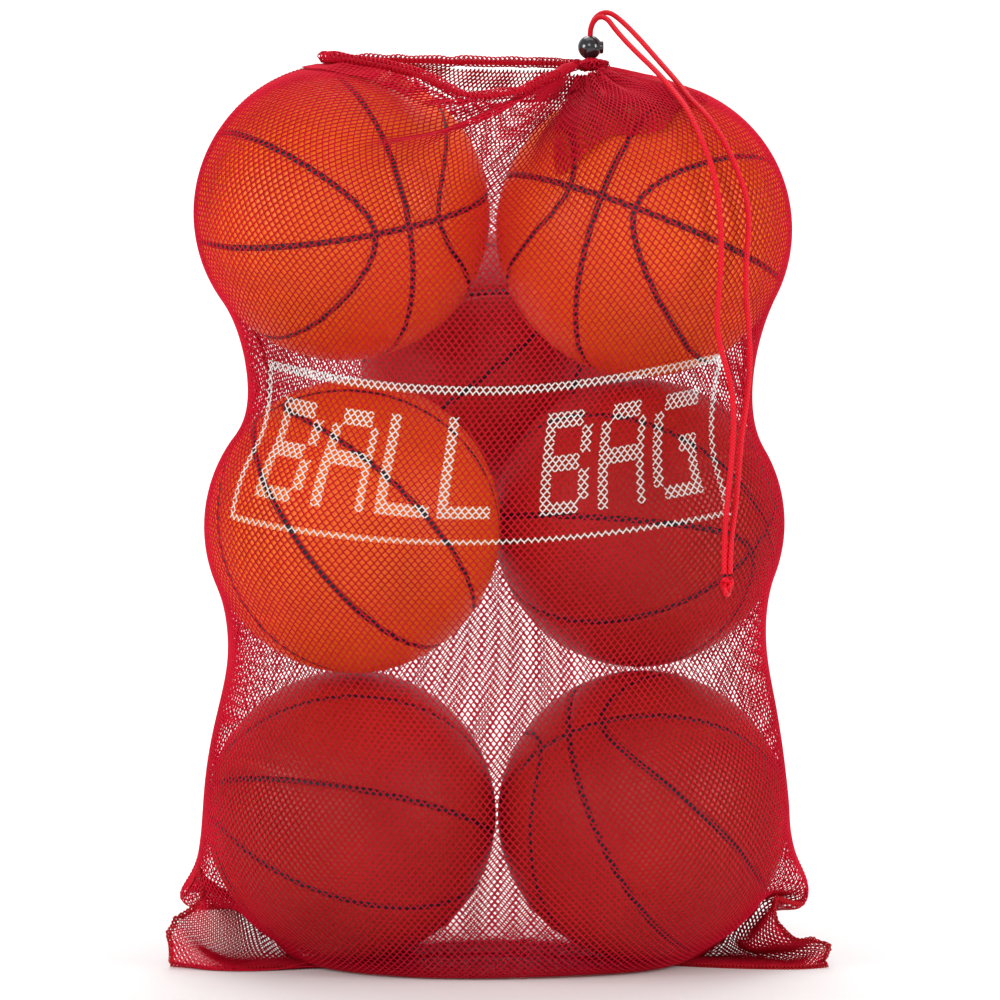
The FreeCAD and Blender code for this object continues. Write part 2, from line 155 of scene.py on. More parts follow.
def cord_material():
    """Round braided cord: small chevrons running both ways round it, with painted shade darkening the
    grooves between the strands.
    """
    made, tree, shader = material("cord_braid")
    where = coords(tree, kind="UV")
    split = node(tree, "ShaderNodeSeparateXYZ")
    tree.links.new(where, split.inputs[0])
    along = math_node(tree, "MULTIPLY", split.outputs[0], 1500.0)
    round_it = math_node(tree, "MULTIPLY", split.outputs[1], 2 * math.pi * 4)
    one = math_node(tree, "SINE", math_node(tree, "ADD", along, round_it))
    two = math_node(tree, "SINE", math_node(tree, "SUBTRACT", along, round_it))
    weave = math_node(tree, "MAXIMUM", one, two)
    level = math_node(tree, "MULTIPLY", math_node(tree, "ADD", weave, 1.0), 0.5)
    fine = noise(tree, coords(tree), 900.0)
    # painted shade: the colour runs from near-black red in the braid's grooves to bright red on its
    # crowns; the fine noise adds random tone
    shade = math_node(tree, "ADD", math_node(tree, "MULTIPLY", level, 0.75),
                      math_node(tree, "MULTIPLY", fine, 0.3))
    colour = ramp(tree, shade, [(0.0, (0.20, 0.000, 0.003)), (0.5, (0.60, 0.001, 0.012)),
                                (1.0, (0.80, 0.004, 0.020))])
    tree.links.new(colour, shader.inputs["Base Color"])
    shader.inputs["Roughness"].default_value = 0.5
    shader.inputs["Specular IOR Level"].default_value = 0.2
    bump(tree, shader, level, 0.8, 0.0006)
    return made


cord_red = cord_material()


def make_cord(name, points):
    data = bpy.data.curves.new(name, "CURVE")
    data.dimensions = "3D"
    spline = data.splines.new("NURBS")
    spline.points.add(len(points) - 1)
    for p, xyz in zip(spline.points, points):
        p.co = (xyz[0] * MM, xyz[1] * MM, xyz[2] * MM, 1.0)
    spline.order_u = 3
    spline.use_endpoint_u = True
    spline.resolution_u = 8
    data.bevel_depth = CORD_DIAMETER / 2
    data.bevel_resolution = 5
    data.use_fill_caps = True
    made = bpy.data.objects.new(name, data)
    bpy.context.scene.collection.objects.link(made)
    made.data.materials.append(cord_red)
    return made


cords = {
    "cord_left": make_cord("vis_cord_left", CORD_LEFT),
    "cord_right": make_cord("vis_cord_right", CORD_RIGHT),
}


# ---- cloth of the bag ---------------------------------------------------------------------
WIDTH = 610.0             # flat width of each panel, mm
LENGTH = 914.0            # flat length, mm
SKIN = 1.6                # how far the cloth's middle stays off a ball, mm
BALL = 121.5              # radius of a ball
FIRST_GRID = (44, 34)     # columns and rows of the loosest cloth, which is made finer twice
HEM_BACK = [(-141, -12, 757), (-124, 4, 757), (-80, 10, 756.5), (-22, 17, 755.5), (38, 12, 754.5),
            (65, -3, 752)]
HEM_FRONT = [(-141, -12, 757), (-128, -33, 755), (-96, -45, 750), (-58, -62, 739.5),
             (-24, -84, 719.5), (20, -78, 723.5), (50, -56, 740), (65, -17, 750)]
NECK = (79.0, -9.0, 748.5)
ON_LOOP = 335.0           # how much of each panel's hem runs round the open mouth
PLEAT = 27.5              # flat width of one pleat at the neck
PLEAT_DEPTH = 6.0
NECK_RADIUS = 9.0
NECK_START = 210.0        # degrees round the neck where the front panel's hem comes in
NECK_TURN = 150.0         # degrees of the neck that each panel takes
HEM_DROP = 1.5            # the cloth meets the hem this far below the hem's middle
# points of each side seam that stick out as a loose corner: height on the flat seam, then its place
LEFT_SEAM = [(0, (-271, 8, 2.5)), (28, (-272.5, 6, 29)), (42, (-266, 4, 42)), (69, (-246, 8, 54)),
             (97, (-247, 8, 82))]
RIGHT_SEAM = [(0, (279, 6, 2.5)), (21, (280, 4, 18)), (42, (262, 4, 24)), (69, (240, 8, 33)),
              (97, (236, 8, 58))]


def ball_centres():
    found = []
    for name in sorted(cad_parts):
        if name.endswith("_cover"):
            low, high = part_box(name)
            found.append(np.array((low + high) / 2) / MM)
    return found


def along_line(points, share):
    """Points at those shares (0 to 1) of a polyline's length."""
    line = np.array(points, float)
    run = np.concatenate([[0], np.cumsum(np.linalg.norm(np.diff(line, axis=0), axis=1))])
    at = np.asarray(share) * run[-1]
    return np.stack([np.interp(at, run, line[:, k]) for k in range(3)], axis=-1)


def hem_pins(columns, pleated):
    """Where each column's top point is held: round the mouth, then pleated round the neck."""
    pins = np.zeros((columns, 3))
    for i in range(columns):
        u = 2 * WIDTH * i / columns
        is_back = u > WIDTH
        t = 2 * WIDTH - u if is_back else u
        if t <= ON_LOOP:
            pins[i] = along_line(HEM_BACK if is_back else HEM_FRONT, t / ON_LOOP)
            pins[i, 2] -= HEM_DROP
            continue
        share = (t - ON_LOOP) / (WIDTH - ON_LOOP)
        start = math.radians(NECK_START)
        turn = math.radians(NECK_TURN) * share
        angle = math.pi - (start - math.pi) - turn if is_back else start + turn
        radius = NECK_RADIUS
        if pleated:
            phase = ((t - ON_LOOP) / PLEAT) % 1.0
            radius += PLEAT_DEPTH * (4 * abs(phase - 0.5) - 1) * min(1.0, 6 * share)
        pins[i] = (NECK[0] + radius * math.cos(angle), NECK[1] + radius * math.sin(angle),
                   NECK[2] - 0.25 * radius)
    return pins


MOMENTUM = 0.93           # how much of its motion the cloth keeps from step to step
GIVE_ROUND, GIVE_UP, GIVE_SLANT = 0.75, 0.9, 0.25    # how firmly a stretched thread draws back
PRESS_ROUND, PRESS_UP, PRESS_SLANT = 0.03, 0.06, 0.03    # how firmly a short one pushes out
STIFFNESS = 0.012         # how firmly a bend straightens
ON_FLOOR = 1.2            # lowest height of the cloth's middle, mm
SLACK = (0.055, 270, 170)    # extra width round the lower waist: share, height, spread up and down
SWELL = (0.045, 285, 75)     # outward lean of both side seams: mm a step, height, spread
DRAW = (0.10, 612, 60)       # inward lean of the left seam, the same way
SEAM_SPREAD = 45             # how far from a seam the lean reaches


def hump(at, middle, spread):
    """A smooth hump, 1 at the middle."""
    return np.exp(-((at - middle) / spread) ** 2)


def first_shape(columns, rows):
    """Loose tube round everything, from the closed foot to the hem."""
    pins = hem_pins(columns, False)
    grid = np.zeros((columns, rows, 3))
    for j in range(rows):
        s = j / (rows - 1)
        z = 3 + 748 * s
        full = min(1.0, s / 0.12) ** 0.5
        front = 150 * full
        rear = (165 + 210 * max(0.0, math.sin(math.pi * min(1, max(0, (s - 0.15) / 0.85)))) ** 0.8) * full
        gather = min(1.0, max(0.0, (s - 0.8) / 0.2))
        gather = gather * gather * (3 - 2 * gather)
        for i in range(columns):
            u = i / columns * 2
            is_back = u > 1
            t = 2 - u if is_back else u
            half = 272 - 10 * min(1, s / 0.1)
            x = -half + 2 * half * t
            swell = max(0.0, math.sin(math.pi * t)) ** 0.45
            y = 8 + 20 * full + (rear if is_back else -front) * swell
            grid[i, j] = (1 - gather) * np.array((x, y, z)) + gather * pins[i]
    return grid


def finer(grid):
    """The grid with a new point between each two, round the bag and up it."""
    columns, rows, _ = grid.shape
    wide = np.zeros((2 * columns, rows, 3))
    wide[0::2] = grid
    wide[1::2] = 0.5 * (grid + np.roll(grid, -1, axis=0))
    tall = np.zeros((2 * columns, 2 * rows - 1, 3))
    tall[:, 0::2] = wide
    tall[:, 1::2] = 0.5 * (wide[:, :-1] + wide[:, 1:])
    return tall


def pull(a, b, rest, give, press):
    """Moves each pair of points towards its rest length: give when stretched, press when short."""
    d = b - a
    length = np.sqrt(np.einsum("ijk,ijk->ij", d, d)) + 1e-6
    over = length - rest
    move = d * (0.5 * np.where(over > 0, give, press) * over / length)[..., None]
    a += move
    b -= move


def pull_round(grid, rows_a, rows_b, rest, give, press):
    """The same for each point and the one beside it round the bag, in two goes."""
    pull(grid[0::2, rows_a], grid[1::2, rows_b], rest, give, press)
    beside = np.roll(grid[0::2], -1, axis=0)
    pull(grid[1::2, rows_a], beside[:, rows_b], rest, give, press)
    grid[0::2] = np.roll(beside, 1, axis=0)


def solve(grid, steps, balls, pleated, weight):
    """Lets the cloth draw in round the balls and hang."""
    columns, rows, _ = grid.shape
    du = 2 * WIDTH / columns
    dv = LENGTH / (rows - 1)
    slant = math.hypot(du, dv)
    pins = hem_pins(columns, pleated).astype(np.float32)
    grid = grid.astype(np.float32)
    before = grid.copy()
    right = columns // 2
    mirror = (-np.arange(columns)) % columns
    from_left = np.minimum(np.arange(columns), columns - np.arange(columns)) * du
    from_right = np.abs(np.arange(columns) - right) * du
    ear = np.maximum(hump(from_left, 0, 60), hump(from_right, 0, 60))
    low = hump(np.arange(rows) * dv, 0, 60)
    together = (0.5 * ear[:, None] * low[None, :])[..., None].astype(np.float32)
    every = slice(None)
    laid = []
    for column, seam in ((0, LEFT_SEAM), (right, RIGHT_SEAM)):
        for v, place in seam:
            if v == 0 or pleated:
                laid.append((column, round(v / dv), place))
    height = (np.arange(rows) * dv)[None, :]
    slack = 1.0 + SLACK[0] * hump(height, *SLACK[1:])
    rest_u = (du * slack).astype(np.float32)
    swell = hump(height, *SWELL[1:]) * SWELL[0]
    draw = hump(height, *DRAW[1:]) * DRAW[0]
    beside_left = hump(from_left, 0, SEAM_SPREAD)[:, None]
    beside_right = hump(from_right, 0, SEAM_SPREAD)[:, None]
    lean = ((beside_right - beside_left) * swell + beside_left * draw).astype(np.float32)
    for _ in range(steps):
        moved = (grid - before) * MOMENTUM
        before = grid.copy()
        grid += moved
        grid[..., 2] -= weight
        grid[..., 0] += lean
        for _ in range(2):
            pull_round(grid, every, every, rest_u, GIVE_ROUND, PRESS_ROUND)
            pull(grid[:, 0:-1:2], grid[:, 1::2], dv, GIVE_UP, PRESS_UP)
            pull(grid[:, 1:-1:2], grid[:, 2::2], dv, GIVE_UP, PRESS_UP)
            pull_round(grid, slice(0, -1), slice(1, None), slant, GIVE_SLANT, PRESS_SLANT)
            pull_round(grid, slice(1, None), slice(0, -1), slant, GIVE_SLANT, PRESS_SLANT)
            bend = np.roll(grid, 1, axis=0) + np.roll(grid, -1, axis=0) - 2 * grid
            grid -= STIFFNESS * (np.roll(bend, 1, axis=0) + np.roll(bend, -1, axis=0) - 2 * bend)
            bend = grid[:, :-2] + grid[:, 2:] - 2 * grid[:, 1:-1]
            grid[:, 2:-2] -= STIFFNESS * (bend[:, :-2] + bend[:, 2:] - 2 * bend[:, 1:-1])
            grid[:, 0] = 0.5 * (grid[:, 0] + grid[mirror, 0])
            grid += together * 0.5 * (grid[mirror] - grid)
            grid[:, -1] = pins
            for column, row, place in laid:
                grid[column, row] = place
        for centre in balls:
            d = grid - centre.astype(np.float32)
            far = np.einsum("ijk,ijk->ij", d, d)
            inside = far < (BALL + SKIN) ** 2
            if inside.any():
                away = d[inside] / np.sqrt(far[inside])[:, None]
                grid[inside] = centre + away * (BALL + SKIN)
                before[inside] = before[inside] * 0.3 + grid[inside] * 0.7
        grid[..., 2] = np.maximum(grid[..., 2], ON_FLOOR)
        grid[:, -1] = pins
    return grid.astype(float)


def grid_normals(grid):
    across = np.roll(grid, -1, axis=0) - np.roll(grid, 1, axis=0)
    up = np.gradient(grid, axis=1)
    n = np.cross(across, up)
    return n / (np.linalg.norm(n, axis=-1, keepdims=True) + 1e-9)


def make_cloth():
    """The bag's cloth as a grid of points, closed round the bag, in mm."""
    balls = ball_centres()
    rng = np.random.default_rng(7)
    grid = first_shape(*FIRST_GRID)
    grid = solve(grid, 260, balls, False, 0.10)
    grid = finer(grid)
    grid += rng.normal(0, 2.5, grid.shape)
    grid = solve(grid, 260, balls, False, 0.05)
    grid = finer(grid)
    columns, rows, _ = grid.shape
    smooth = hem_pins(columns, False)
    folded = hem_pins(columns, True)
    fall = np.exp(-(LENGTH - np.arange(rows) * LENGTH / (rows - 1)) / 110.0)
    grid += (folded - smooth)[:, None, :] * fall[None, :, None]
    grid += rng.normal(0, 0.8, grid.shape)
    flat_u = np.arange(columns) * 2 * WIDTH / columns
    flat_v = np.arange(rows) * LENGTH / (rows - 1)
    beside = np.exp(-(np.minimum(flat_u, 2 * WIDTH - flat_u) / 70.0) ** 2)
    beside += 0.7 * np.exp(-((flat_u - WIDTH) / 70.0) ** 2)
    where = np.exp(-((flat_v - 300) / 130.0) ** 2) + 0.5 * np.exp(-((flat_v - 600) / 60.0) ** 2)
    wave = np.sin(2 * math.pi * flat_u[:, None] / 34.0 + 0.9 * np.sin(flat_v[None, :] / 60.0))
    grid += grid_normals(grid) * (7.0 * beside[:, None] * where[None, :] * wave)[..., None]
    return solve(grid, 300, balls, True, 0.022)


cloth = make_cloth()
COLUMNS, ROWS, _ = cloth.shape


def cubic(t):
    """Four weights that run smoothly through the middle two of four points."""
    t2, t3 = t * t, t * t * t
    return np.stack([-0.5 * t + t2 - 0.5 * t3, 1 - 2.5 * t2 + 1.5 * t3,
                     0.5 * t + 2 * t2 - 1.5 * t3, -0.5 * t2 + 0.5 * t3], axis=-1)


def sample(grid, u, v):
    """Points of a grid at flat places (u round the bag, v up it), both in mm."""
    i = u / (2 * WIDTH) * COLUMNS
    j = np.clip(v / LENGTH * (ROWS - 1), 0, ROWS - 1 - 1e-6)
    i0 = np.floor(i).astype(int)
    j0 = np.floor(j).astype(int)
    wi, wj = cubic(i - i0), cubic(j - j0)
    total = 0
    for a in range(4):
        ia = (i0 + a - 1) % COLUMNS
        for b in range(4):
            jb = np.clip(j0 + b - 1, 0, ROWS - 1)
            total = total + grid[ia, jb] * (wi[..., a] * wj[..., b])[..., None]
    return total


normals = grid_normals(cloth)


# ---- knitted net --------------------------------------------------------------------------
WALE = 2.575              # spacing of the upright yarns, mm
COURSE = 7.1              # height of one zigzag
TOUCH = 0.5               # spacing of two yarns where they are knitted together
YARN_WIDE = 1.2
YARN_THICK = 0.9


def net_material(name, dark, mid, light):
    made, tree, shader = material(name)
    where = coords(tree)
    big = noise(tree, where, 9.0, 2.0)
    fine = noise(tree, where, 1400.0, 3.0)
    mix = math_node(tree, "ADD", math_node(tree, "MULTIPLY", big, 0.5),
                    math_node(tree, "MULTIPLY", fine, 0.5))
    colour = ramp(tree, mix, [(0.25, dark), (0.5, mid), (0.75, light)])
    tree.links.new(colour, shader.inputs["Base Color"])
    shader.inputs["Roughness"].default_value = 0.6
    shader.inputs["Specular IOR Level"].default_value = 0.12
    bump(tree, shader, fine, 0.5, 0.0002)
    return made


net_red = net_material("net_red", (0.33, 0.001, 0.010), (0.55, 0.003, 0.022),
                       (0.70, 0.007, 0.034))
net_print = net_material("net_print", (0.66, 0.60, 0.60), (0.80, 0.76, 0.75),
                         (0.90, 0.88, 0.87))


def mesh_from(name, points, quads, uv, slots, materials):
    """A mesh object from arrays: points in mm, four corners a face, flat places for its UV."""
    data = bpy.data.meshes.new(name)
    data.vertices.add(len(points))
    data.vertices.foreach_set("co", (points * MM).astype(np.float32).ravel())
    data.loops.add(quads.size)
    data.loops.foreach_set("vertex_index", quads.astype(np.int32).ravel())
    data.polygons.add(len(quads))
    data.polygons.foreach_set("loop_start", np.arange(0, quads.size, 4, dtype=np.int32))
    data.polygons.foreach_set("material_index", slots.astype(np.int32))
    data.polygons.foreach_set("use_smooth", np.ones(len(quads), bool))
    data.update(calc_edges=True)
    layer = data.uv_layers.new(name="OFBake")
    layer.data.foreach_set("uv", uv[quads.ravel()].astype(np.float32).ravel())
    for m in materials:
        data.materials.append(m)
    made = bpy.data.objects.new(name, data)
    bpy.context.scene.collection.objects.link(made)
    return made


def yarn_tubes(centre, normal):
    """Three-sided yarns along lines of points: arrays (lines, stations, 3)."""
    along = np.gradient(centre, axis=1)
    along /= np.linalg.norm(along, axis=-1, keepdims=True) + 1e-9
    side = np.cross(along, normal)
    side /= np.linalg.norm(side, axis=-1, keepdims=True) + 1e-9
    out = np.cross(side, along)
    ring = [(0.5 * YARN_WIDE, -0.33 * YARN_THICK), (0.0, 0.67 * YARN_THICK),
            (-0.5 * YARN_WIDE, -0.33 * YARN_THICK)]
    points = np.stack([centre + side * a + out * b for a, b in ring], axis=2)
    lines, stations = centre.shape[:2]
    index = np.arange(lines * stations * 3).reshape(lines, stations, 3)
    turned = np.roll(index, -1, axis=2)
    quads = np.stack([index[:, :-1], index[:, 1:], turned[:, 1:], turned[:, :-1]], axis=-1)
    return points.reshape(-1, 3), quads.reshape(-1, 4)


def zigzag(count, phase):
    """Stations of one yarn: how far up in courses, and to which side it leans."""
    step = np.arange(count)
    up = np.array([-0.09, 0.09, 0.41, 0.59])[:, None] + step[None, :]
    up = up.T.ravel()
    lean = np.tile([1.0, 1.0, -1.0, -1.0], count)
    return up, lean * phase


PRINT_U = (119.0, 490.0)  # the print's frame on the flat panel, across and up, mm
PRINT_V = (502.0, 632.0)
PRINT_LINE = 5.6          # width of the frame's line
GLYPHS = {
    "B": ("11110", "10001", "10001", "11110", "10001", "10001", "11110"),
    "A": ("01110", "10001", "10001", "11111", "10001", "10001", "10001"),
    "L": ("10000", "10000", "10000", "10000", "10000", "10000", "11111"),
    "G": ("01111", "10000", "10000", "10011", "10001", "10001", "01111"),
    " ": ("000", "000", "000", "000", "000", "000", "000"),
}
PRINT_WORD = "BALL BAG"   # plain words for what the thing is


def word_cells():
    """The printed words as a table of cells, top row first."""
    rows = ["0".join(GLYPHS[letter][k] for letter in PRINT_WORD) for k in range(7)]
    return np.array([[c == "1" for c in row] for row in rows])


def printed(u, v):
    """Where the net carries the white print: a plain frame with two words in it."""
    left, right = PRINT_U
    low, high = PRINT_V
    inside = (u > left) & (u < right) & (v > low) & (v < high)
    deep = ((u > left + PRINT_LINE) & (u < right - PRINT_LINE)
            & (v > low + PRINT_LINE) & (v < high - PRINT_LINE))
    cells = word_cells()
    across = (u - left - 20) / (right - left - 40) * cells.shape[1]
    down = (high - 24 - v) / (high - low - 46) * cells.shape[0]
    held = (across >= 0) & (across < cells.shape[1]) & (down >= 0) & (down < cells.shape[0])
    i = np.clip(down, 0, cells.shape[0] - 1).astype(int)
    j = np.clip(across, 0, cells.shape[1] - 1).astype(int)
    return (inside & ~deep) | (held & cells[i, j])


def net_piece(name, first, count, start_u, low=0.0, high=LENGTH, lift=None, ragged=0.0):
    """Yarns first to first + count of one panel, between two heights, raised by lift(u, v)."""
    courses = int((high - low) / COURSE)
    lean_by = (WALE - TOUCH) / 2
    rows_u, rows_v = [], []
    for k in range(first, first + count):
        up, lean = zigzag(courses, 1.0 if k % 2 == 0 else -1.0)
        raised = ragged * (0.5 + 0.5 * math.sin(k / 8.0) * math.cos(k / 21.0))
        raised += 2.2 * ragged * max(0.0, (k - first - 0.62 * count) / (0.38 * count))
        rows_v.append(np.clip(low + raised + (up + 0.25) * COURSE, 0, LENGTH))
        rows_u.append(start_u + (k + 0.5) * WALE + lean * lean_by)
    u, v = np.array(rows_u), np.array(rows_v)
    centre = sample(cloth, u, v)
    normal = sample(normals, u, v)
    if lift is not None:
        centre = centre + normal * lift(u, v)[..., None]
    points, quads = yarn_tubes(centre, normal)
    uv = np.repeat(np.stack([(u % WIDTH) / WIDTH, v / LENGTH], axis=-1).reshape(-1, 2), 3, axis=0)
    mid_u = 0.5 * (u[:, :-1] + u[:, 1:])
    mid_v = 0.5 * (v[:, :-1] + v[:, 1:])
    white = printed(mid_u, mid_v) & (lift is None)
    slots = np.repeat(white.ravel(), 3)
    return mesh_from(name, points, quads, uv, slots, [net_red, net_print])


def net_panel(name, start_u, pieces=5):
    """One panel as upright strips, each with its own flat width in m."""
    wales = int(WIDTH / WALE)
    edges = [round(wales * k / pieces) for k in range(pieces + 1)]
    made = []
    for k in range(pieces):
        strip = net_piece(f"{name}_{k + 1}", edges[k], edges[k + 1] - edges[k], start_u)
        made.append((strip, (edges[k + 1] - edges[k]) * WALE * MM))
    return made


front_net = net_panel("vis_front_net", 0.0)
back_net = net_panel("vis_back_net", WIDTH)


def casing_lift(u, v):
    """The turned-in edge of the net lies a little off the net itself."""
    return 1.6 + 1.2 * np.sin(u / 9.0) * np.sin(u / 31.0 + v / 17.0)


def fold_lift(u, v):
    """A slack fold of net that lies over the shoulder beside the neck."""
    return 2.6 + 1.6 * np.sin(u / 13.0 + v / 23.0)


CASING = 27.0             # height of the turned-in edge, mm
ALL_WALES = int(WIDTH / WALE)
casing = [net_piece("vis_casing_front", 0, ALL_WALES, 0.0, LENGTH - CASING, LENGTH, casing_lift),
          net_piece("vis_casing_back", 0, ALL_WALES, WIDTH, LENGTH - CASING, LENGTH, casing_lift)]
fold = net_piece("vis_shoulder_fold", 135, ALL_WALES - 140, 0.0, 800.0, 890.0, fold_lift, 34.0)


# ---- balls --------------------------------------------------------------------------------
BALL_TURNS = {
    "ball_low_left": (62, -70, 43), "ball_low_right": (-20, -25, 136),
    "ball_mid_left": (158, 36, -116), "ball_mid_right": (60, -40, 181),
    "ball_top_left": (27, -13, -173), "ball_top_right": (-22, 18, -12),
    "ball_back": (35, 20, -30),
}
GROOVE = 5.2              # width of a seam on a ball, mm
GROOVE_DEPTH = 0.9
AT_ONCE = 20000           # points measured in one go


def ball_material(name, dark, light):
    """Pebbled rubber."""
    made, tree, shader = material(name)
    where = coords(tree)
    cells = node(tree, "ShaderNodeTexVoronoi", feature="SMOOTH_F1")
    cells.inputs["Scale"].default_value = 380.0
    cells.inputs["Smoothness"].default_value = 0.25
    tree.links.new(where, cells.inputs["Vector"])
    wear = noise(tree, where, 14.0, 5.0)
    fine = noise(tree, where, 160.0, 3.0)
    mix = math_node(tree, "ADD", math_node(tree, "MULTIPLY", wear, 0.6),
                    math_node(tree, "MULTIPLY", fine, 0.4))
    colour = ramp(tree, mix, [(0.3, dark), (0.7, light)])
    tree.links.new(colour, shader.inputs["Base Color"])
    shader.inputs["Roughness"].default_value = 0.42
    shader.inputs["Specular IOR Level"].default_value = 0.3
    pebble = math_node(tree, "SUBTRACT", 1.0, cells.outputs["Distance"])
    bump(tree, shader, pebble, 0.7, 0.0007)
    return made


ball_orange = ball_material("ball_orange", (0.86, 0.125, 0.002), (0.98, 0.200, 0.004))
ball_brick = ball_material("ball_brick", (0.36, 0.022, 0.006), (0.50, 0.042, 0.010))


def turned(angles):
    """Rotation matrix for a yaw, pitch and roll in degrees."""
    yaw, pitch_by, roll = (math.radians(a) for a in angles)
    cz, sz, cy, sy = math.cos(yaw), math.sin(yaw), math.cos(pitch_by), math.sin(pitch_by)
    cx, sx = math.cos(roll), math.sin(roll)
    rz = np.array([[cz, -sz, 0], [sz, cz, 0], [0, 0, 1]])
    ry = np.array([[cy, 0, sy], [0, 1, 0], [-sy, 0, cy]])
    rx = np.array([[1, 0, 0], [0, cx, -sx], [0, sx, cx]])
    return rz @ ry @ rx


def seam_curves():
    """The four seams on a unit ball: two great circles and a loop on each side."""
    a = np.linspace(0, 2 * math.pi, 361)
    zero = np.zeros_like(a)
    y, z = 0.97 * np.cos(a), 0.707 * np.sin(a)
    x = np.sqrt(1 - y * y - z * z)
    return [np.stack([zero, np.cos(a), np.sin(a)], axis=1),
            np.stack([np.cos(a), np.sin(a), zero], axis=1),
            np.stack([x, y, z], axis=1), np.stack([-x, y, z], axis=1)]


SEAMS = seam_curves()


def away_from_seams(points):
    """How far each point of a unit ball is from the nearest seam, in mm on the real ball."""
    best = np.full(len(points), -1.0)
    for curve in SEAMS:
        for start in range(0, len(points), AT_ONCE):
            part = slice(start, start + AT_ONCE)
            best[part] = np.maximum(best[part], (points[part] @ curve[:-1].T).max(axis=1))
    return np.arccos(np.clip(best, -1, 1)) * BALL


def grid_quads(index):
    """The four corners of every cell of a grid of point numbers."""
    return np.stack([index[:-1, :-1], index[:-1, 1:], index[1:, 1:], index[1:, :-1]],
                    axis=-1).reshape(-1, 4)


def even_uv(across, up):
    """Flat places for a grid of points, evenly spread."""
    return np.stack(np.meshgrid(np.linspace(0, 1, across), np.linspace(0, 1, up),
                                indexing="ij"), axis=-1).reshape(-1, 2)


def round_loop(line):
    """Unit directions along a loop of points whose last point is its first."""
    along = np.gradient(line, axis=0)
    along[0] = along[-1] = line[1] - line[-2]
    return along / np.linalg.norm(along, axis=1, keepdims=True)


def ball_cover(name, turn, centre, made):
    """One ball's cover: a fine ball with the seams pressed into it."""
    around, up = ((320, 160))
    a = np.arange(around + 1) * 2 * math.pi / around
    b = np.linspace(0.004, math.pi - 0.004, up + 1)
    grid = np.stack([np.outer(np.cos(a), np.sin(b)), np.outer(np.sin(a), np.sin(b)),
                     np.tile(np.cos(b), (around + 1, 1))], axis=-1)
    flat = grid.reshape(-1, 3)
    far = away_from_seams(flat)
    edge = np.clip((far - 0.5 * GROOVE + 0.2) / 1.4, 0, 1)
    radius = BALL - GROOVE_DEPTH * (1 - edge * edge * (3 - 2 * edge))
    points = (flat * radius[:, None]) @ turn.T + centre
    index = np.arange(len(flat)).reshape(around + 1, up + 1)
    quads = grid_quads(index)
    return mesh_from(name, points, quads, even_uv(around + 1, up + 1), np.zeros(len(quads)), [made])


def ball_ribs(name, turn, centre, made):
    """The black lines of one ball, a little below its cover."""
    profile = [(-0.5 * GROOVE - 0.3, -1.6), (-0.5 * GROOVE + 0.1, -0.62), (0.0, -0.34),
               (0.5 * GROOVE - 0.1, -0.62), (0.5 * GROOVE + 0.3, -1.6)]
    all_points, all_quads, all_uv, base = [], [], [], 0
    for curve in SEAMS:
        side = np.cross(curve, round_loop(curve))
        rows = []
        for across, lift in profile:
            spot = curve + side * across / BALL
            spot /= np.linalg.norm(spot, axis=1, keepdims=True)
            rows.append(spot * (BALL + lift))
        points = np.stack(rows, axis=1)
        count = len(curve)
        index = base + np.arange(count * len(profile)).reshape(count, len(profile))
        all_points.append(points.reshape(-1, 3))
        all_quads.append(grid_quads(index))
        all_uv.append(even_uv(count, len(profile)))
        base += count * len(profile)
    points = np.concatenate(all_points) @ turn.T + centre
    quads = np.concatenate(all_quads)
    return mesh_from(name, points, quads, np.concatenate(all_uv), np.zeros(len(quads)), [made])


def plain_material(name, colour, roughness, scale=120.0, spread=0.25, metallic=0.0, coat=0.0):
    made, tree, shader = material(name)
    where = coords(tree)
    grain = noise(tree, where, scale)
    low = tuple(c * (1 - spread) for c in colour)
    high = tuple(min(1.0, c * (1 + spread)) for c in colour)
    tree.links.new(ramp(tree, grain, [(0.35, low), (0.65, high)]), shader.inputs["Base Color"])
    shader.inputs["Roughness"].default_value = roughness
    shader.inputs["Metallic"].default_value = metallic
    shader.inputs["Coat Weight"].default_value = coat
    bump(tree, shader, grain, 0.15, 0.0002)
    return made


rib_black = plain_material("rib_black", (0.012, 0.011, 0.011), 0.55)
carcass_grey = plain_material("carcass_grey", (0.30, 0.27, 0.22), 0.8)
bladder_black = plain_material("bladder_black", (0.03, 0.03, 0.03), 0.6)
valve_black = plain_material("valve_black", (0.02, 0.02, 0.02), 0.4)
lock_black = plain_material("lock_black", (0.010, 0.010, 0.012), 0.16, 60.0, 0.3, 0.0, 0.6)
steel = plain_material("steel", (0.55, 0.55, 0.57), 0.3, 300.0, 0.1, 1.0)


def dress(name, made):
    """Gives a kept CAD node its material."""
    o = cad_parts[name]
    o.data.materials.clear()
    o.data.materials.append(made)


for ball, angles in BALL_TURNS.items():
    low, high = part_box(ball + "_cover")
    centre = np.array((low + high) / 2) / MM
    turn = turned(angles)
    orange = ball in ("ball_top_left", "ball_top_right", "ball_mid_left")
    cover = ball_cover("vis_" + ball + "_cover", turn, centre, ball_orange if orange else ball_brick)
    ribs = ball_ribs("vis_" + ball + "_ribs", turn, centre, rib_black)
    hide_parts(ball + "_cover")
    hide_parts(ball + "_ribs")
    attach(cover, ball)
    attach(ribs, ball)
    dress(ball + "_carcass", carcass_grey)
    dress(ball + "_bladder", bladder_black)
    dress(ball + "_valve", valve_black)
dress("lock_body", lock_black)
dress("lock_plunger", lock_black)
dress("lock_spring", steel)


# ---- hem, seams ---------------------------------------------------------------------------
def frames_along(line, normal):
    """Two unit directions across a line of points: sideways and out."""
    along = np.gradient(line, axis=0)
    along /= np.linalg.norm(along, axis=1, keepdims=True) + 1e-9
    side = np.cross(along, normal)
    side /= np.linalg.norm(side, axis=1, keepdims=True) + 1e-9
    return side, np.cross(side, along)


